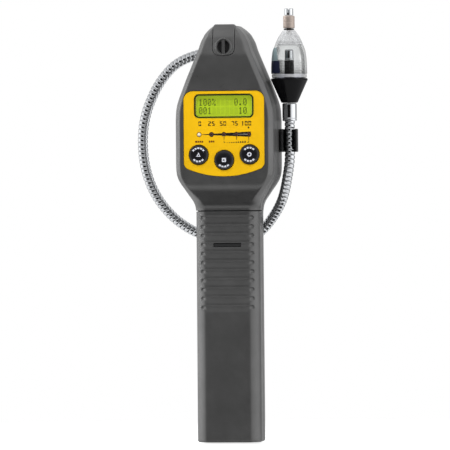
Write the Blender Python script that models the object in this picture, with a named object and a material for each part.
"""Portable combustible-gas detector: a hand-held instrument with a grip that holds three C cells,
a wide display head, and a chrome gooseneck that leaves the back of the head, loops round its
left side, passes behind the grip and ends in a sensor probe stowed in a clip on the right side.

Frame: millimetres below, written to the scene in metres. Origin at the centre of the grip's
bottom face, +Z up along the body, the display faces -Y, and +X is on the right of a viewer
who looks at the display.
"""

import math
from collections import namedtuple
from types import SimpleNamespace

import bmesh
import bpy
from mathutils import Matrix, Vector

MM = 0.001
ORIGIN = (0.0, 0.0, 0.0)
GAP = 0.3                   # clearance between fitted parts

# ---------------------------------------------------------------- driving dimensions (mm)
BODY_TOP = 303.6            # top of the head's shoulders
SEAM_Z = 168.9              # joint line between battery cover and front housing
SEAM_GAP = 0.6
COVER_TOP = SEAM_Z - SEAM_GAP / 2
HOUSING_BOTTOM = SEAM_Z + SEAM_GAP / 2
HEAD_START_Z = 172.0        # the grip's section turns into the head's between these heights
HEAD_FULL_Z = 187.5
GRIP_FRONT_Y = -12.0
HEAD_FRONT_Y = -26.0
BACK_Y = 24.0
GRIP_PART_Y = 6.0           # parting line of the grip, front cover to rear housing
HEAD_PART_Y = -10.0         # parting line of the head
BOTTOM_CHAMFER = 1.6
HOLLOW_FLOOR_Z = 2.4

# (height, half width of the body)
HALF_WIDTH = (
    (0.0, 23.8), (168.0, 23.6), (173.0, 24.3), (176.5, 25.9), (180.2, 28.8),
    (183.8, 31.4), (187.5, 34.2), (191.1, 36.4), (194.8, 37.8), (199.0, 38.3),
    (204.0, 38.4), (235.0, 38.4), (242.1, 38.0), (246.0, 37.3), (250.0, 36.1),
    (264.0, 30.8), (285.7, 21.7), (292.0, 19.7), (294.5, 18.4), (297.4, 16.8),
    (300.3, 13.9), (302.2, 11.6), (BODY_TOP, 8.9),
)
# (height, y) of the front face, the back face and the parting line
FRONT_FACE_Y = (
    (0.0, GRIP_FRONT_Y), (HEAD_START_Z, GRIP_FRONT_Y), (HEAD_FULL_Z, HEAD_FRONT_Y),
    (282.0, HEAD_FRONT_Y), (296.0, -23.4), (301.5, -20.6), (BODY_TOP, -18.0),
)
BACK_FACE_Y = ((0.0, BACK_Y), (292.0, BACK_Y), (299.0, 22.0), (302.4, 19.0), (BODY_TOP, 16.5))
PARTING_Y = ((0.0, GRIP_PART_Y), (170.0, GRIP_PART_Y), (192.0, HEAD_PART_Y), (304.0, HEAD_PART_Y))

# heights of the rings that shape the head, outside and inside
HEAD_HEIGHTS = (
    170.0, 173.0, 176.5, 180.2, 183.8, 187.5, 191.1, 194.8, 199.0, 204.0, 235.0, 242.1, 250.0,
    264.0, 282.0, 292.0, 294.5, 297.4, 300.3, 302.2, BODY_TOP,
)
HEAD_HOLLOW_HEIGHTS = (194.8, 204.0, 235.0, 250.0, 283.0, 292.0, 298.4, 301.2)

# (x, height) of the bosses and screws that hold the two housings together
BOSSES = ((-31.5, 212.0), (31.5, 212.0), (-23.5, 266.0), (23.5, 266.0))
SCREW_PILOT_R = 1.35

# gooseneck: radii, exit from the mount, mount screws
NECK_R = 3.7
SOCKET_R = 4.2
NECK_Y = 31.0
NECK_Z = 285.8
MOUNT_SCREW_X = 4.0
MOUNT_SCREWS = ((MOUNT_SCREW_X, NECK_Z + 9.4), (MOUNT_SCREW_X, NECK_Z - 9.4))
MOUNT_HOLE_R = 1.4
LEAD_HOLE_X = 6.0
LEAD_HOLE_R = 3.0

# probe, stowed upright beside the head
PROBE_PIVOT = (45.0, 2.0, 231.0)
PROBE_X, PROBE_Y = PROBE_PIVOT[:2]
CLIP_SCREW_Z = 220.0


# ---------------------------------------------------------------- materials

# colour is sRGB in 0..255
Look = namedtuple("Look", "colour roughness metallic alpha", defaults=(0.0, 1.0))

BLACK_PLASTIC = Look(colour=(64, 65, 64), roughness=0.42)
SOFT_BLACK = Look(colour=(28, 28, 29), roughness=0.5)
BEZEL_BLACK = Look(colour=(14, 14, 14), roughness=0.3)
BUTTON_BLACK = Look(colour=(20, 20, 21), roughness=0.38)
SWITCH_BLACK = Look(colour=(40, 40, 42), roughness=0.4)
CLIP_BLACK = Look(colour=(22, 22, 23), roughness=0.4)
CONE_BLACK = Look(colour=(24, 24, 25), roughness=0.42)
RUBBER = Look(colour=(16, 16, 16), roughness=0.5)
CHROME = Look(colour=(205, 207, 210), roughness=0.14, metallic=1.0)
STEEL = Look(colour=(172, 168, 160), roughness=0.3, metallic=1.0)
FRAME_METAL = Look(colour=(60, 62, 64), roughness=0.4, metallic=0.8)
RING_METAL = Look(colour=(190, 194, 196), roughness=0.15, metallic=0.3)
END_CELL = Look(colour=(196, 140, 64), roughness=0.35, metallic=0.6)
MIDDLE_CELL = Look(colour=(190, 134, 60), roughness=0.35, metallic=0.6)
BOARD_GREEN = Look(colour=(30, 92, 52), roughness=0.5)
PLATE_YELLOW = Look(colour=(245, 198, 20), roughness=0.35)
LCD_GREEN = Look(colour=(178, 195, 48), roughness=0.2)
LAMP_GREEN = Look(colour=(96, 190, 96), roughness=0.2)
LAMP_RED = Look(colour=(214, 60, 44), roughness=0.2)
WINDOW_CLEAR = Look(colour=(220, 230, 215), roughness=0.08, alpha=0.35)
GUARD_CLEAR = Look(colour=(214, 218, 216), roughness=0.18, alpha=0.4)


def srgb_to_linear(value):
    value /= 255.0
    return value / 12.92 if value <= 0.04045 else ((value + 0.055) / 1.055) ** 2.4


def material(name, look):
    made = bpy.data.materials.new(name)
    made.use_nodes = True
    inputs = made.node_tree.nodes["Principled BSDF"].inputs
    linear = [srgb_to_linear(value) for value in look.colour]
    inputs["Base Color"].default_value = (*linear, 1.0)
    inputs["Roughness"].default_value = look.roughness
    inputs["Metallic"].default_value = look.metallic
    inputs["Alpha"].default_value = look.alpha
    made.diffuse_color = (*linear, look.alpha)
    return made


# ---------------------------------------------------------------- outlines

def mix(start, end, share):
    return start + (end - start) * share


def value_at(table, z):
    """Value of a (height, value) table at z, straight between its stations."""
    if z <= table[0][0]:
        return table[0][1]
    for (z0, value0), (z1, value1) in zip(table, table[1:]):
        if z <= z1:
            return value0 + (value1 - value0) * (z - z0) / (z1 - z0)
    return table[-1][1]


def arc(centre_1, centre_2, radius, start, end, steps):
    """Points on an arc, angles in degrees, both ends included."""
    angles = [math.radians(mix(start, end, i / steps)) for i in range(steps + 1)]
    return [(centre_1 + radius * math.cos(angle), centre_2 + radius * math.sin(angle))
            for angle in angles]


def rounded(width, height, x, z, radius, steps=4):
    """Rectangle with round corners, centred on (x, z)."""
    right, up = width / 2 - radius, height / 2 - radius
    return (
        arc(x + right, z - up, radius, -90, 0, steps) + arc(x + right, z + up, radius, 0, 90, steps)
        + arc(x - right, z + up, radius, 90, 180, steps)
        + arc(x - right, z - up, radius, 180, 270, steps)
    )


def both_sides(right):
    """Full outline from the points of its right half."""
    return right + [(-x, other) for x, other in reversed(right)]


# ---------------------------------------------------------------- solids

def make_object(name, points, faces, origin=ORIGIN, look=None, sharp=32.0):
    """Object from points in mm; its origin is placed on the given point."""
    mesh = bpy.data.meshes.new(name)
    base = Vector(origin)
    mesh.from_pydata([tuple((Vector(point) - base) * MM) for point in points], [], faces)
    bm = bmesh.new()
    bm.from_mesh(mesh)
    bmesh.ops.remove_doubles(bm, verts=bm.verts, dist=1e-6)
    bmesh.ops.recalc_face_normals(bm, faces=bm.faces)
    bm.to_mesh(mesh)
    bm.free()
    mesh.shade_smooth()
    mesh.set_sharp_from_angle(angle=math.radians(sharp))
    made = bpy.data.objects.new(name, mesh)
    made.location = base * MM
    bpy.context.scene.collection.objects.link(made)
    if look is not None:
        mesh.materials.append(material(name, look))
    return made


def loft(name, rings, origin=ORIGIN, look=None, sharp=32.0):
    """Closed solid through equal rings of points, its two ends capped."""
    count = len(rings[0])
    points = [point for ring in rings for point in ring]
    faces = []
    for i in range(len(rings) - 1):
        low, high = i * count, (i + 1) * count
        for j in range(count):
            k = (j + 1) % count
            faces.append((low + j, low + k, high + k, high + j))
    faces.append(tuple(range(count))[::-1])
    faces.append(tuple(range((len(rings) - 1) * count, len(rings) * count)))
    return make_object(name, points, faces, origin, look, sharp)


def box(name, low, high, origin=ORIGIN, look=None):
    (x0, y0, z0), (x1, y1, z1) = low, high
    rings = [[(x0, y0, z), (x1, y0, z), (x1, y1, z), (x0, y1, z)] for z in (z0, z1)]
    return loft(name, rings, origin, look)


def prism(name, outline, y0, y1, look=None):
    """Solid of an outline in the X-Z plane, between two depths."""
    return loft(name, [[(x, y, z) for x, z in outline] for y in (y0, y1)], look=look)


def column(name, outline, z0, z1, look=None):
    """Solid of an outline in the X-Y plane, between two heights."""
    return loft(name, [[(x, y, z) for x, y in outline] for z in (z0, z1)], look=look)


def along(axis, centre, shift, across_1, across_2):
    """Point shifted along the axis from the centre, and offset across it."""
    x, y, z = centre
    if axis == "x":
        return (x + shift, y + across_1, z + across_2)
    if axis == "y":
        return (x + across_1, y + shift, z + across_2)
    return (x + across_1, y + across_2, z + shift)


def turned(name, profile, axis="z", centre=ORIGIN, sides=24, origin=None, look=None, bore=0.0,
           turn=0.0):
    """Turned solid from a profile of (radius, position along the axis).

    The profile runs along the outside from one end to the other. A bore closes it on the
    wall of a through hole of that radius, or on a list of inner (radius, position) points.
    """
    if isinstance(bore, list):
        inner = bore
    else:
        inner = [(bore, profile[-1][1]), (bore, profile[0][1])] if bore > 0 else []
    path = profile + inner
    points, faces, rows = [], [], []
    for radius, shift in path:
        if radius < 1e-6:
            points.append(along(axis, centre, shift, 0.0, 0.0))
            rows.append([len(points) - 1] * sides)
            continue
        row = []
        for i in range(sides):
            angle = turn + 2 * math.pi * i / sides
            across = radius * math.cos(angle), radius * math.sin(angle)
            points.append(along(axis, centre, shift, *across))
            row.append(len(points) - 1)
        rows.append(row)
    count = len(rows)
    for i in range(count if inner else count - 1):
        lower, upper = rows[i], rows[(i + 1) % count]
        for j in range(sides):
            k = (j + 1) % sides
            # a row on the axis is one point, so its faces are triangles
            face = tuple(dict.fromkeys((lower[j], lower[k], upper[k], upper[j])))
            if len(face) > 2:
                faces.append(face)
    if not inner:
        for end in (0, -1):
            if path[end][0] > 1e-6:
                faces.append(tuple(rows[end]))
    return make_object(name, points, faces, centre if origin is None else origin, look)


def rod(name, axis, centre, radius, start, end, sides=16):
    # the small turn keeps its facets off the planes of the pieces it meets
    return turned(name, [(radius, start), (radius, end)], axis, centre, sides, turn=0.09)


def numbered_rods(name, places, radius, y0, y1, sides):
    """A rod along Y at each (x, height)."""
    return [rod(f"{name}_{i + 1}", "y", (x, 0, z), radius, y0, y1, sides)
            for i, (x, z) in enumerate(places)]


def joined(objects):
    """The separate bodies of several objects in the mesh of the first."""
    first = objects[0]
    bm = bmesh.new()
    for part in objects:
        moved = part.data.copy()
        moved.transform(first.matrix_basis.inverted() @ part.matrix_basis)
        bm.from_mesh(moved)
        bpy.data.meshes.remove(moved)
    bm.to_mesh(first.data)
    bm.free()
    for part in objects[1:]:
        bpy.data.objects.remove(part, do_unlink=True)
    return first


def boolean(target, helpers, operation):
    for helper in helpers:
        modifier = target.modifiers.new(operation.lower() + "_" + helper.name, "BOOLEAN")
        modifier.operation = operation
        modifier.solver = "EXACT"
        modifier.object = helper
        helper.hide_render = True
        helper.display_type = "WIRE"


def cut(target, *helpers):
    boolean(target, helpers, "DIFFERENCE")


def fuse(target, *helpers):
    boolean(target, helpers, "UNION")


def slotted_screw(kind, number, profile, x, z, sides, slot_y):
    """Screw along Y with a vertical slot cut into its head between two depths."""
    screw = turned(f"{kind}_{number}", profile, "y", (x, 0.0, z), sides, look=STEEL)
    cut(screw, box(f"{kind}_slot_{number}", (x - 0.4, slot_y[0], z - 4), (x + 0.4, slot_y[1], z + 4)))


# ---------------------------------------------------------------- body sections

def section(z, inset=0.0):
    """The numbers that shape the body's cross-section at height z."""
    head = min(1.0, max(0.0, (z - HEAD_START_Z) / (HEAD_FULL_Z - HEAD_START_Z)))
    half_width = value_at(HALF_WIDTH, z) - inset
    narrowing = min(1.0, half_width / 18.0)     # corners shrink where the body is narrow

    def blend(grip_size, head_size):
        return mix(grip_size, head_size, head) * narrowing

    return SimpleNamespace(
        half_width=half_width,
        front=value_at(FRONT_FACE_Y, z) + inset,
        back=value_at(BACK_FACE_Y, z) - inset,
        # how far the side stands in from the half width, at three depths
        side_at_part=blend(0.2, 1.6),
        side_at_front=blend(0.2, 2.6),
        side_at_back=blend(0.1, 1.2),
        corner_x=blend(7.3, 3.4),
        corner_y=blend(7.3, 4.2),
        back_corner=blend(8.0, 6.0),
        roundness=1.0 - head,
    )


def corner(side, face, roundness, steps=3):
    """Right-hand outline points from a side's end to a face's end, both included.

    Roundness 0 gives a chamfer, 1 a quarter round.
    """
    (x0, y0), (x1, y1) = side, face
    made = [side]
    for i in range(1, steps + 1):
        share = i / (steps + 1)
        angle = share * math.pi / 2
        curved_x = x1 + (x0 - x1) * math.cos(angle)
        curved_y = y0 + (y1 - y0) * math.sin(angle)
        made.append((mix(mix(x0, x1, share), curved_x, roundness),
                     mix(mix(y0, y1, share), curved_y, roundness)))
    return made + [face]


def front_ring(z, inset=0.0, part=None):
    """Ring of the body in front of the parting line, or in front of y = part."""
    shape = section(z, inset)
    part = value_at(PARTING_Y, z) if part is None else part
    side = (shape.half_width - shape.side_at_front, shape.front + shape.corner_y)
    face = (side[0] - shape.corner_x, shape.front)
    right = [(shape.half_width - shape.side_at_part, part)] + corner(side, face, shape.roundness)
    return [(x, y, z) for x, y in both_sides(right)]


def rear_ring(z, inset=0.0, part=None):
    """Ring of the body behind the parting line's gap, or behind y = part."""
    shape = section(z, inset)
    part = value_at(PARTING_Y, z) + GAP if part is None else part
    side = (shape.half_width - shape.side_at_back, shape.back - shape.back_corner)
    face = (side[0] - shape.back_corner, shape.back)
    widest_y = max(part + 2.5, 4.0)
    right = [(shape.half_width - shape.side_at_part, part), (shape.half_width, widest_y)]
    right += corner(side, face, 1.0)
    return [(x, y, z) for x, y in both_sides(right)]


def cavity(name, ring_of, heights, past_part, wall):
    """Hollow of a shell, carried past the parting line so that the shell is open there."""
    return loft(name, [ring_of(z, wall, value_at(PARTING_Y, z) + past_part) for z in heights])


# ---------------------------------------------------------------- openings in the head's front

PLATE_HALF = 29.5
PLATE_TOP = 256.0
PLATE_BOTTOM = 193.9
PLATE_CORNER_R = 6.5
PLATE_FRONT_Y = -25.6
PLATE_BACK_Y = -25.0
RECESS_Y = -24.7
HEAD_WALL_IN_Y = -23.2
WINDOW_WIDTH, WINDOW_HEIGHT = 43.1, 17.0
WINDOW_Z = 245.05
WINDOW_CORNER_R = 3.3
BUTTONS = {"a": (-18.6, 209.7), "b": (0.0, 205.8), "c": (18.6, 209.7)}     # (x, height)
BUTTON_R = 7.1
LAMPS = (
    ("ready_lamp", LAMP_GREEN), ("alarm_lamp_1", LAMP_RED), ("alarm_lamp_2", LAMP_RED),
    ("alarm_lamp_3", LAMP_RED), ("alarm_lamp_4", LAMP_RED),
)
LAMP_Z = 224.4
LAMP_PITCH = 9.1
LAMP_R = 1.4


def lamp_centre(i):
    return ((i - 2) * LAMP_PITCH, 0.0, LAMP_Z)


def plate_outline(grow):
    """Faceplate outline: a shallow curve for its lower edge, and round corners."""
    right = [(x, PLATE_BOTTOM - grow + x * x / 130.0) for x in (0.0, 8.0, 15.5)]
    right += arc(24.3, 202.8, 5.0 + grow, -103, 0, 4)
    right += arc(PLATE_HALF - PLATE_CORNER_R, PLATE_TOP - PLATE_CORNER_R, PLATE_CORNER_R + grow,
                 0, 90, 4)
    return both_sides(right)[:-1]       # the point on the centre line counts once


def window_outline(grow, steps=4):
    return rounded(WINDOW_WIDTH + 2 * grow, WINDOW_HEIGHT + 2 * grow, 0, WINDOW_Z,
                   WINDOW_CORNER_R + grow, steps)


def front_openings(name, y0, y1):
    """One cutter for the window, the three buttons and the five lamps."""
    pieces = [prism(name, window_outline(GAP, 3), y0, y1)]
    for key, (x, z) in BUTTONS.items():
        pieces.append(rod(f"{name}_{key}", "y", (x, 0, z), BUTTON_R + GAP, y0, y1, 20))
    for i in range(len(LAMPS)):
        pieces.append(rod(f"{name}_{i}", "y", lamp_centre(i), LAMP_R + GAP, y0, y1, 10))
    return joined(pieces)


# ---------------------------------------------------------------- housings

NOSE_TOP = 304.7            # top of the insert at the nose
NOSE_HALF = 7.9
NOSE_BOTTOM = 281.7
NOSE_CORNER_R = 5.0


def nose_slot_outline():
    """Slot for the nose insert, round at the bottom and open past the top of the head."""
    right = arc(NOSE_HALF - NOSE_CORNER_R, NOSE_BOTTOM + NOSE_CORNER_R, NOSE_CORNER_R + GAP,
                -90, 0, 4)
    return both_sides(right + [(NOSE_HALF + GAP, 312.0)])


def build_front_housing():
    rings = [front_ring(z) for z in (HOUSING_BOTTOM, *HEAD_HEIGHTS)]
    housing = loft("front_housing", rings, look=BLACK_PLASTIC)
    hollow = cavity("front_hollow", front_ring,
                    (HOUSING_BOTTOM + 2.0, 176.5, 187.8, *HEAD_HOLLOW_HEIGHTS),
                    past_part=9.0, wall=2.2)
    cut(hollow, *numbered_rods("front_boss", BOSSES, 3.0, -32.0, -3.0, 10))
    cut(housing, hollow)
    # the head's front wall is thicker than its sides, to carry the faceplate's recess
    fuse(housing, prism("front_pad", rounded(60.0, 60.6, 0, 225.9, 5.0, 3), -24.2, HEAD_WALL_IN_Y))
    cut(housing, prism("plate_recess", plate_outline(GAP), -29.0, RECESS_Y))
    cut(housing, front_openings("front_openings", -27.2, -20.4))
    cut(housing, *numbered_rods("front_pilot", BOSSES, SCREW_PILOT_R, -18.0, 1.0, 10))
    cut(housing, prism("nose_slot", nose_slot_outline(), -32.0, -14.0))


def build_rear_housing():
    rings = [rear_ring(0.0, BOTTOM_CHAMFER)]
    rings += [rear_ring(z) for z in (BOTTOM_CHAMFER, 80.0, 168.0, *HEAD_HEIGHTS)]
    housing = loft("rear_housing", rings, look=BLACK_PLASTIC)
    hollow = cavity("rear_hollow", rear_ring,
                    (HOLLOW_FLOOR_Z, 171.0, 178.0, 188.6, *HEAD_HOLLOW_HEIGHTS),
                    past_part=-14.0, wall=1.8)
    cut(hollow, *numbered_rods("rear_boss", BOSSES, 4.3, -2.0, 30.0, 12))
    cut(housing, hollow)
    # (radius, y): a clearance hole that widens for the screw's head
    bore = [(SCREW_PILOT_R, -6.0), (SCREW_PILOT_R, 14.0), (3.1, 14.0), (3.1, 30.0)]
    for i, (x, z) in enumerate(BOSSES):
        cut(housing, turned(f"screw_bore_{i + 1}", bore, "y", (x, 0, z), 12))
    cut(housing, rod("clip_screw_hole", "x", (0, PROBE_Y, CLIP_SCREW_Z), 1.4, 30.0, 42.0, 10))
    cut(housing, *numbered_rods("mount_hole", MOUNT_SCREWS, MOUNT_HOLE_R, 18.0, 28.0, 10))
    cut(housing, rod("lead_hole", "y", (LEAD_HOLE_X, 0, NECK_Z), LEAD_HOLE_R, 18.0, 28.0, 12))


def build_case_screws():
    # (radius, y)
    profile = [(1.05, -9.0), (1.05, 14.4), (2.75, 14.4), (2.75, 16.2), (2.3, 16.7)]
    for i, (x, z) in enumerate(BOSSES):
        slotted_screw("case_screw", i + 1, profile, x, z, 10, slot_y=(15.9, 20))


# ---------------------------------------------------------------- battery cover and latch

GROOVES = 11
GROOVE_TOP_Z = 163.9
GROOVE_PITCH = 6.55
GROOVE_HEIGHT = 3.0
GROOVE_HALF = 20.0
GROOVE_DEPTH = 0.9
SLOT_Z = GROOVE_TOP_Z - 3 * GROOVE_PITCH - 0.25     # latch opening, in the fourth groove
SLOT_HALF = 10.2
SLOT_HEIGHT = 2.9
LATCH_PIVOT = (0.0, -8.6, 165.0)
LATCH_TOP = 166.2


def build_battery_cover():
    rings = [front_ring(0.0, BOTTOM_CHAMFER)]
    rings += [front_ring(z) for z in (BOTTOM_CHAMFER, 90.0, COVER_TOP)]
    cover = loft("battery_cover", rings, origin=(0, 0, COVER_TOP), look=BLACK_PLASTIC)
    cut(cover, cavity("cover_hollow", front_ring, (HOLLOW_FLOOR_Z, 90.0, COVER_TOP + 4.0),
                      past_part=6.0, wall=2.0))
    # each groove cutter loses this core, so it bites to one depth along the curved front
    core = loft("groove_core",
                [front_ring(z, GROOVE_DEPTH, GRIP_PART_Y + 8) for z in (60.0, 170.0)])
    radius = GROOVE_HEIGHT / 2
    for i in range(GROOVES):
        z = GROOVE_TOP_Z - i * GROOVE_PITCH
        outline = arc(GROOVE_HALF - radius, z, radius, -90, 90, 4)
        outline += arc(radius - GROOVE_HALF, z, radius, 90, 270, 4)
        groove = prism(f"groove_{i + 1}", outline, -16.0, -4.0)
        cut(groove, core)
        cut(cover, groove)
    cut(cover, box("latch_slot", (-SLOT_HALF, -16, SLOT_Z - SLOT_HEIGHT / 2),
                   (SLOT_HALF, -8, SLOT_Z + SLOT_HEIGHT / 2)))


def build_cover_latch():
    latch = box("cover_latch", (-11.0, -9.4, 141.2), (11.0, -7.9, LATCH_TOP), LATCH_PIVOT,
                SOFT_BLACK)
    fuse(latch, box("latch_tongue", (-SLOT_HALF + GAP, -11.0, SLOT_Z - SLOT_HEIGHT / 2 + GAP),
                    (SLOT_HALF - GAP, -8.4, SLOT_Z + SLOT_HEIGHT / 2 - GAP)))
    fuse(latch, box("latch_foot", (-8.0, -8.6, 163.5), (8.0, -4.4, LATCH_TOP)))


# ---------------------------------------------------------------- battery bay

# IEC R14 (C size) cells
CELL_R = 13.1
CELL_L = 49.6
CELL_Y = 7.8
CELL_BOTTOM_Z = 9.4
BAY_TOP = 160.9
SPRING_TURNS = 3.0
SPRING_STEPS = 42
SPRING_WIRE_R = 0.55
SPRING_BOTTOM_R, SPRING_TOP_R = 7.6, 3.4
SPRING_BOTTOM_Z, SPRING_TOP_Z = 3.7, 9.1


def build_bulkhead():
    # (x, y), right half
    right = [(16.4, -7.0), (20.6, -2.4), (20.6, 14.0), (17.0, 20.2), (13.0, 21.6)]
    bulkhead = column("bulkhead", both_sides(right), 161.2, 163.2, SOFT_BLACK)
    cut(bulkhead, rod("bulkhead_lead_hole", "z", (-15.5, 3.0, 0), 2.0, 158.0, 166.0, 10))


def build_battery_tray():
    """Half-round cradle open toward the cover."""
    inner, outer, front_y = CELL_R + 0.4, CELL_R + 1.0, 1.0
    outline = [(-outer, front_y)] + arc(0.0, CELL_Y, outer, 0, 180, 12)[::-1] + [(outer, front_y)]
    outline += [(inner, front_y)] + arc(0.0, CELL_Y, inner, 0, 180, 12) + [(-inner, front_y)]
    column("battery_tray", outline, 3.0, BAY_TOP, SOFT_BLACK)


def build_battery_cells():
    for i in range(3):
        low = CELL_BOTTOM_Z + i * (CELL_L + GAP)
        top = low + CELL_L
        shoulder = top - 1.6
        # (radius, height), with the raised contact on top
        profile = [(CELL_R - 1.0, low), (CELL_R, low + 0.8), (CELL_R, top - 2.6),
                   (CELL_R - 1.0, shoulder), (3.0, shoulder), (3.0, top)]
        turned(f"battery_cell_{i + 1}", profile, "z", (0.0, CELL_Y, 0.0), 18,
               look=MIDDLE_CELL if i == 1 else END_CELL)


def build_contact(name, half_x, half_y, z0, z1):
    box(name, (-half_x, CELL_Y - half_y, z0), (half_x, CELL_Y + half_y, z1), look=STEEL)


def build_battery_spring():
    """Conical spring under the lowest cell: a wire wound on a cone."""
    rings = []
    for i in range(SPRING_STEPS + 1):
        share = i / SPRING_STEPS
        angle = 2 * math.pi * SPRING_TURNS * share
        radius = mix(SPRING_BOTTOM_R, SPRING_TOP_R, share)
        z = mix(SPRING_BOTTOM_Z + SPRING_WIRE_R, SPRING_TOP_Z - SPRING_WIRE_R, share)
        outward = Vector((math.cos(angle), math.sin(angle), 0))
        ring = []
        for k in range(5):
            around = 2 * math.pi * k / 5
            rise = Vector((0, 0, SPRING_WIRE_R * math.sin(around)))
            reach = outward * (radius + SPRING_WIRE_R * math.cos(around))
            ring.append(tuple(Vector((0, CELL_Y, z)) + reach + rise))
        rings.append(ring)
    loft("battery_spring", rings, look=STEEL, sharp=80)


# ---------------------------------------------------------------- nose insert and sounder

PORT_Z = 287.9
NOSE_HEIGHTS = (281.7, 282.3, 283.4, 285.0, 286.7, 296.0, 299.0, 299.5, 302.2, 303.9, NOSE_TOP)
NOSE_TOP_TRIM = {303.9: 0.3, NOSE_TOP: 1.4}     # height: how much narrower each side is there


def nose_ring(z):
    """Ring of the insert: a thin front wall that turns back over the top of the head."""
    half = NOSE_HALF
    corner_z = NOSE_BOTTOM + NOSE_CORNER_R
    if z < corner_z:
        half += math.sqrt(max(0.0, NOSE_CORNER_R ** 2 - (corner_z - z) ** 2)) - NOSE_CORNER_R
    half -= NOSE_TOP_TRIM.get(z, 0.0)
    face = value_at(FRONT_FACE_Y, z)
    front = face - 0.35 + (1.2 if z == NOSE_TOP else 0.0)
    back = face + 2.6 if z < 299.2 else -14.4
    return [(-half, front, z), (half, front, z), (half, back, z), (-half, back, z)]


def build_nose_insert():
    nose = loft("nose_insert", [nose_ring(z) for z in NOSE_HEIGHTS], look=BLACK_PLASTIC)
    centre = (0, 0, PORT_Z)
    fuse(nose, rod("port_ring", "y", centre, 6.2, -26.7, -24.4, 20))
    # (radius, y)
    profile = [(5.4, -30.0), (5.4, -26.4), (4.3, -25.6), (4.3, -18.0)]
    opening = turned("port_opening", profile, "y", centre, 20)
    # an upright bar is left standing across the opening
    cut(opening, box("port_bar", (-1.1, -25.4, PORT_Z - 8), (1.1, -18.0, PORT_Z + 8)))
    cut(nose, opening)


def build_sounder():
    # (radius, y)
    profile = [(6.4, -20.2), (6.8, -19.8), (6.8, -14.9), (6.4, -14.5)]
    turned("sounder", profile, "y", (0, 0, 289.4), 20, look=SOFT_BLACK, bore=1.2)


# ---------------------------------------------------------------- faceplate, display, boards

BEZEL_WALL = 0.9
FLANGE_FRONT_Y = -22.9      # front of the buttons' flanges and back of the bezel
SWITCH_TOP_Y = -20.4
DISPLAY_BOARD_FRONT_Y = -18.0
MAIN_BOARD_FRONT_Y = 4.0
# (x, height), right halves
DISPLAY_BOARD = [(27.0, 198.5), (27.6, 206.0), (27.6, 243.0), (25.5, 259.0), (17.5, 262.0)]
MAIN_BOARD = [(26.0, 186.0), (26.6, 205.0), (26.6, 240.0), (21.0, 258.0), (14.0, 276.0)]


def build_faceplate():
    plate = prism("faceplate", plate_outline(0.0), PLATE_FRONT_Y, PLATE_BACK_Y, PLATE_YELLOW)
    cut(plate, front_openings("plate_openings", -28.0, -20.0))


def build_window():
    bezel = prism("display_bezel", window_outline(0.0), -25.95, FLANGE_FRONT_Y, BEZEL_BLACK)
    cut(bezel, prism("bezel_opening", window_outline(-BEZEL_WALL), -28, -20))
    prism("display_window", window_outline(-BEZEL_WALL - GAP), -25.5, -24.3, WINDOW_CLEAR)


def build_lcd():
    box("lcd_glass", (-23.2, -21.9, 234.3), (23.2, -20.1, 255.0), look=LCD_GREEN)
    frame = box("lcd_frame", (-24.8, -22.6, 232.5), (24.8, -18.3, 256.6), look=FRAME_METAL)
    cut(frame, box("lcd_pocket", (-23.5, -22.2, 234.0), (23.5, -17.0, 255.3)))
    cut(frame, box("lcd_sight", (-22.0, -24.0, 236.4), (22.0, -21.0, 253.7)))


def build_display_board():
    board = prism("display_board", both_sides(DISPLAY_BOARD), DISPLAY_BOARD_FRONT_Y, -16.4,
                  BOARD_GREEN)
    fuse(board, box("display_driver", (-9.0, -16.6, 240.0), (5.0, -14.9, 249.0)))
    fuse(board, box("controller", (-6.0, -16.6, 218.0), (6.0, -14.7, 230.0)))


def build_main_board():
    board = prism("main_board", both_sides(MAIN_BOARD), MAIN_BOARD_FRONT_Y, 5.6, BOARD_GREEN)
    fuse(board,
         box("sensor_amplifier", (-8.0, 1.9, 244.0), (4.0, 4.2, 254.0)),
         box("power_inductor", (8.0, 0.4, 196.0), (17.0, 4.2, 205.0)),
         box("board_header", (-20.0, -2.0, 214.0), (-16.0, 4.2, 234.0)))


def build_button(key, x, z):
    """Domed button with a flange behind the front wall."""
    # (radius, y)
    profile = [(0.0, -27.35), (4.0, -27.2), (6.2, -26.7), (BUTTON_R, -26.2),
               (BUTTON_R, FLANGE_FRONT_Y), (8.4, FLANGE_FRONT_Y), (8.4, -21.9)]
    turned(f"button_{key}", profile, "y", (x, 0.0, z), 20, (x, FLANGE_FRONT_Y, z), BUTTON_BLACK)


def build_switch(key, x, z):
    """Switch behind a button: a square body and a round plunger."""
    switch = box(f"tact_switch_{key}", (x - 3.0, -19.9, z - 3.0), (x + 3.0, -18.3, z + 3.0),
                 look=SWITCH_BLACK)
    fuse(switch, rod(f"switch_plunger_{key}", "y", (x, 0, z), 1.7, -20.75, -19.0, 12))


def build_lamps():
    # (radius, y): domed front, stem, flange at the back
    profile = [(0.0, -25.95), (0.9, -25.75), (LAMP_R, -25.2), (LAMP_R, SWITCH_TOP_Y),
               (1.9, SWITCH_TOP_Y), (1.9, -18.3)]
    for i, (name, look) in enumerate(LAMPS):
        turned(name, profile, "y", lamp_centre(i), 12, look=look)


# ---------------------------------------------------------------- neck mount, back of the head

MOUNT_X0, MOUNT_X1 = -5.4, 13.0
MOUNT_HALF_HEIGHT = 6.6
MOUNT_FRONT_Y = BACK_Y + GAP


def mount_ring(inset, y):
    x0, x1 = MOUNT_X0 + inset, MOUNT_X1 - inset
    z0, z1 = NECK_Z - MOUNT_HALF_HEIGHT + inset, NECK_Z + MOUNT_HALF_HEIGHT - inset
    return [(x0, y, z0), (x1, y, z0), (x1, y, z1), (x0, y, z1)]


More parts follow.
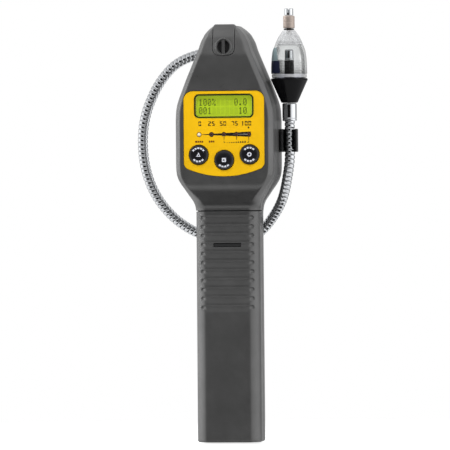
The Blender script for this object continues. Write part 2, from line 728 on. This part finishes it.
def build_neck_mount():
    rings = [mount_ring(0.0, MOUNT_FRONT_Y), mount_ring(0.0, 35.8), mount_ring(1.6, 37.4)]
    mount = loft("neck_mount", rings, look=BLACK_PLASTIC)
    flange = rounded(10.0, 26.8, MOUNT_SCREW_X, NECK_Z, 4.6)
    fuse(mount, prism("mount_flange", flange, MOUNT_FRONT_Y, MOUNT_FRONT_Y + 2.4))
    neck_axis = (0, NECK_Y, NECK_Z)
    cut(mount, rod("neck_bore", "x", neck_axis, NECK_R + 0.45, -9.0, -1.6, 16))
    cut(mount, rod("lead_bore", "y", (LEAD_HOLE_X, 0, NECK_Z), LEAD_HOLE_R, 20.0, NECK_Y, 12))
    cut(mount, rod("lead_crossing", "x", neck_axis, 2.4, -3.0, LEAD_HOLE_X, 12))
    cut(mount, *numbered_rods("flange_hole", MOUNT_SCREWS, MOUNT_HOLE_R, 20.0, 30.0, 10))


def build_mount_screws():
    # (radius, y)
    profile = [(1.05, 19.0), (1.05, 27.0), (2.4, 27.0), (2.4, 28.2), (1.8, 28.8)]
    for i, (x, z) in enumerate(MOUNT_SCREWS):
        slotted_screw("mount_screw", i + 1, profile, x, z, 12, slot_y=(28.1, 32))


def build_gland_nut():
    """Hexagonal nut round the neck; its bore follows the neck, a touch below its own axis."""
    # (radius, x)
    profile = [(6.2, -12.4), (6.9, -11.8), (6.9, -6.2), (6.5, -5.7)]
    nut = turned("gland_nut", profile, "x", (0.0, NECK_Y, NECK_Z), 6, look=CHROME,
                 turn=math.radians(30))
    cut(nut, rod("nut_bore", "x", (0, NECK_Y, 285.75), NECK_R + 0.5, -14.0, -5.0, 16))


# ---------------------------------------------------------------- gooseneck

HINGE_1 = (28.2, 23.3, 162.0)
HINGE_2 = (37.8, 12.5, 176.5)
HINGE_3 = (43.0, 4.6, 194.7)
# (x, y, z) along the centre line, from the mount to the probe
NECK_PATH = (
    (-2.0, NECK_Y, NECK_Z), (-8.0, NECK_Y, NECK_Z), (-13.5, 31.0, 285.75), (-20.8, 31.0, 285.3),
    (-28.9, 30.5, 283.3), (-37.0, 30.0, 280.1), (-44.1, 30.0, 275.5), (-50.4, 30.0, 268.8),
    (-56.1, 30.0, 260.6), (-60.3, 30.0, 252.1), (-63.7, 30.0, 243.6), (-66.1, 30.0, 233.6),
    (-67.1, 30.0, 222.6), (-66.8, 30.0, 211.5), (-65.1, 30.0, 200.4), (-61.8, 30.0, 189.7),
    (-56.9, 30.0, 179.7), (-50.6, 30.0, 170.9), (-42.2, 30.0, 162.4), (-31.8, 29.8, 155.4),
    (-21.0, 29.6, 150.6), (-11.0, 29.5, 147.9), (-1.0, 29.4, 146.9), (9.4, 29.3, 148.4),
    (18.6, 28.2, 152.6), (24.2, 26.0, 157.4), HINGE_1, (33.4, 18.0, 168.9), HINGE_2,
    (40.8, 8.2, 185.2), HINGE_3, (44.6, 2.5, 203.8), (45.0, 2.0, 211.0), (45.0, 2.0, 221.0),
    PROBE_PIVOT, (45.0, 2.0, 240.2),
)
# (name, start, end) of each length
NECK_LENGTHS = (
    ("base", NECK_PATH[0], HINGE_1), ("low", HINGE_1, HINGE_2), ("mid", HINGE_2, HINGE_3),
    ("high", HINGE_3, PROBE_PIVOT), ("tip", PROBE_PIVOT, NECK_PATH[-1]),
)
SOCKET_RADII = (0.7, 2.1, 3.2, NECK_R)
BALL_ANGLES = (0, 24, 46, 66, 82)


def direction_at(path, i):
    """Direction of a path at its point i, from the neighbours it has."""
    before, after = path[max(0, i - 1)], path[min(len(path) - 1, i + 1)]
    return (Vector(after) - Vector(before)).normalized()


def build_hose(name, start, end, sides=12):
    """Length of hose. At a joint it starts in a hollow that clears the ball before it,
    and ends in a ball; the neck's two outer ends are flat."""
    first, last = NECK_PATH.index(start), NECK_PATH.index(end)
    has_socket, has_ball = first > 0, last < len(NECK_PATH) - 1
    span = NECK_PATH[first:last + 1]
    stations = []            # (centre, direction, radius)
    if has_socket:
        direction = direction_at(NECK_PATH, first)
        for radius in SOCKET_RADII:
            depth = math.sqrt(SOCKET_R ** 2 - radius ** 2)
            stations.append((Vector(start) + direction * depth, direction, radius))
    for i in range(int(has_socket), len(span) - int(has_ball)):
        stations.append((Vector(span[i]), direction_at(span, i), NECK_R))
    if has_ball:
        direction = direction_at(NECK_PATH, last)
        for degrees in BALL_ANGLES:
            angle = math.radians(degrees)
            centre = Vector(end) + direction * (NECK_R - 0.04) * math.sin(angle)
            stations.append((centre, direction, NECK_R * math.cos(angle)))

    # the ring's first direction is carried along the path, so the hose does not twist
    across = Vector((0, 0, 1)) if abs(stations[0][1].z) < 0.7 else Vector((1, 0, 0))
    angles = [2 * math.pi * k / sides for k in range(sides)]
    rings = []
    for centre, direction, radius in stations:
        across = (across - direction * across.dot(direction)).normalized()
        other = direction.cross(across)
        rings.append([
            tuple(centre + (across * math.cos(angle) + other * math.sin(angle)) * radius)
            for angle in angles
        ])
    loft(name, rings, start if has_socket else ORIGIN, CHROME, sharp=50)


# ---------------------------------------------------------------- stow clip, right of the head

JAW_IN_R, JAW_OUT_R = 4.15, 6.1
LIP_Y = -4.6                # front of the jaw, which opens toward -Y
CLIP_BASE_X0, CLIP_BASE_X1 = 38.8, 40.1


def build_stow_clip():
    inner_x, outer_x = PROBE_X + JAW_IN_R, PROBE_X + JAW_OUT_R
    # (x, y)
    outline = [(CLIP_BASE_X0, -5.2), (CLIP_BASE_X1, -5.2), (40.5, LIP_Y), (PROBE_X - JAW_IN_R, LIP_Y)]
    outline += arc(PROBE_X, PROBE_Y, JAW_IN_R, 180, 0, 10)
    outline += [(inner_x, LIP_Y + 0.4), (inner_x + 0.5, LIP_Y)]
    outline += [(outer_x - 0.6, LIP_Y), (outer_x, LIP_Y + 0.8)]
    outline += arc(PROBE_X, PROBE_Y, JAW_OUT_R, 0, 150, 10)
    outline += [(CLIP_BASE_X1, 9.2), (CLIP_BASE_X0, 9.2)]
    clip = column("stow_clip", outline, 211.6, 228.3, CLIP_BLACK)
    cut(clip, rod("clip_thread", "x", (0, PROBE_Y, CLIP_SCREW_Z), 1.35, 37.0, 40.3, 10))


def build_clip_screw():
    # (radius, x)
    profile = [(2.1, 33.9), (2.3, 34.3), (2.3, 35.6), (1.05, 35.6), (1.05, 39.9)]
    turned("clip_screw", profile, "x", (0.0, PROBE_Y, CLIP_SCREW_Z), 12, look=STEEL)


# ---------------------------------------------------------------- probe

GUARD_ORIGIN = (PROBE_X, PROBE_Y, 268.5)
# all probe profiles: (radius, height)
GUARD_OUTER = [
    (13.0, 268.5), (13.1, 273.0), (12.8, 278.5), (12.4, 282.8), (11.7, 285.7), (10.6, 288.7),
    (8.3, 294.5), (7.4, 296.0), (5.3, 299.0), (4.5, 300.3),
]


def probe_part(name, profile, sides, origin, look, bore=0.0):
    return turned(name, profile, "z", (PROBE_X, PROBE_Y, 0.0), sides, origin, look, bore)


def build_probe_body():
    """Parts that turn about the probe's pivot."""
    probe_part(
        "ferrule", [(4.7, 234.1), (5.25, 234.6), (5.25, 246.4), (4.9, 247.1)],
        18, PROBE_PIVOT, CHROME,
        bore=[(2.0, 247.1), (2.0, 240.6), (NECK_R + GAP, 240.6), (NECK_R + GAP, 234.1)])
    probe_part(
        "sensor_cone",
        [(5.6, 247.4), (6.2, 248.2), (9.6, 256.0), (13.2, 263.6), (13.45, 264.4), (12.9, 265.4)],
        24, PROBE_PIVOT, CONE_BLACK,
        bore=[(11.5, 265.4), (11.5, 262.6), (2.2, 262.6), (2.2, 247.4)])
    probe_part(
        "sensor_socket",
        [(11.1, 262.9), (11.1, 265.0), (3.9, 265.0), (3.6, 266.0), (3.45, 278.5)],
        16, PROBE_PIVOT, SOFT_BLACK)
    probe_part("sensor_can", [(3.35, 278.8), (3.35, 285.7), (2.8, 286.4)], 16, PROBE_PIVOT, STEEL)


def build_guard():
    """Clear guard over the sensor, with the rings below and above it and the inlet collar."""
    probe_part(
        "cone_ring", [(12.5, 265.7), (12.8, 266.0), (12.8, 268.0), (12.6, 268.2)],
        24, GUARD_ORIGIN, RING_METAL, bore=[(10.9, 268.2), (10.9, 265.7)])
    inner = [(2.0, 300.3), (2.0, 298.0)]
    inner += [(radius - 1.6, z - 0.9) for radius, z in reversed(GUARD_OUTER[1:8])]
    inner += [(11.4, 268.5)]
    probe_part("sensor_guard", GUARD_OUTER, 24, GUARD_ORIGIN, GUARD_CLEAR, bore=inner)
    probe_part(
        "guard_o_ring", [(3.6, 300.6), (3.95, 300.8), (3.95, 301.4), (3.6, 301.6)],
        14, GUARD_ORIGIN, RUBBER, bore=[(2.3, 301.6), (2.0, 301.1), (2.3, 300.6)])
    probe_part(
        "inlet_collar",
        [(1.65, 298.6), (1.65, 301.9), (3.9, 301.9), (4.2, 302.2), (4.2, 310.5), (3.8, 310.9)],
        16, GUARD_ORIGIN, STEEL, bore=[(1.0, 310.9), (1.0, 298.6)])


def build_inlet_tip():
    """Tip with a blind recess, its rim cut by two crossed slots."""
    tip = probe_part(
        "inlet_tip",
        [(3.0, 311.2), (3.25, 311.4), (3.25, 316.0), (3.1, 316.3), (2.5, 316.3), (2.5, 312.2),
         (0.95, 312.2), (0.95, 315.2), (0.6, 315.6)],
        16, GUARD_ORIGIN, CHROME)
    to_probe = Matrix.Translation(Vector((PROBE_X, PROBE_Y, 0)) * MM)
    for i, angle in enumerate((0, 90)):
        slot = box(f"tip_slot_{i + 1}", (-6, -0.7, 313.0), (6, 0.7, 318.0))
        # the core spares the pin in the middle of the recess
        core = rod(f"tip_core_{i + 1}", "z", (0, 0, 0), 1.8, 311.0, 320.0, 12)
        cut(slot, core)
        for piece in (slot, core):
            piece.matrix_world = to_probe @ Matrix.Rotation(math.radians(angle), 4, "Z")
        cut(tip, slot)


# ---------------------------------------------------------------- assembly

for old in list(bpy.data.objects):
    bpy.data.objects.remove(old, do_unlink=True)

build_front_housing()
build_rear_housing()
build_battery_cover()
build_cover_latch()
build_bulkhead()
build_battery_tray()
build_battery_cells()
build_contact("battery_contact_top", 6.0, 6.0, 160.0, BAY_TOP)
build_contact("battery_contact_bottom", 9.0, 8.0, 2.8, 3.4)
build_battery_spring()
build_nose_insert()
build_sounder()
build_faceplate()
build_window()
build_lcd()
build_display_board()
for key, (x, z) in BUTTONS.items():
    build_button(key, x, z)
    build_switch(key, x, z)
build_lamps()
build_main_board()
build_case_screws()
build_neck_mount()
build_mount_screws()
build_gland_nut()
for name, start, end in NECK_LENGTHS:
    build_hose(f"gooseneck_{name}", start, end)
build_stow_clip()
build_clip_screw()
build_probe_body()
build_guard()
build_inlet_tip()
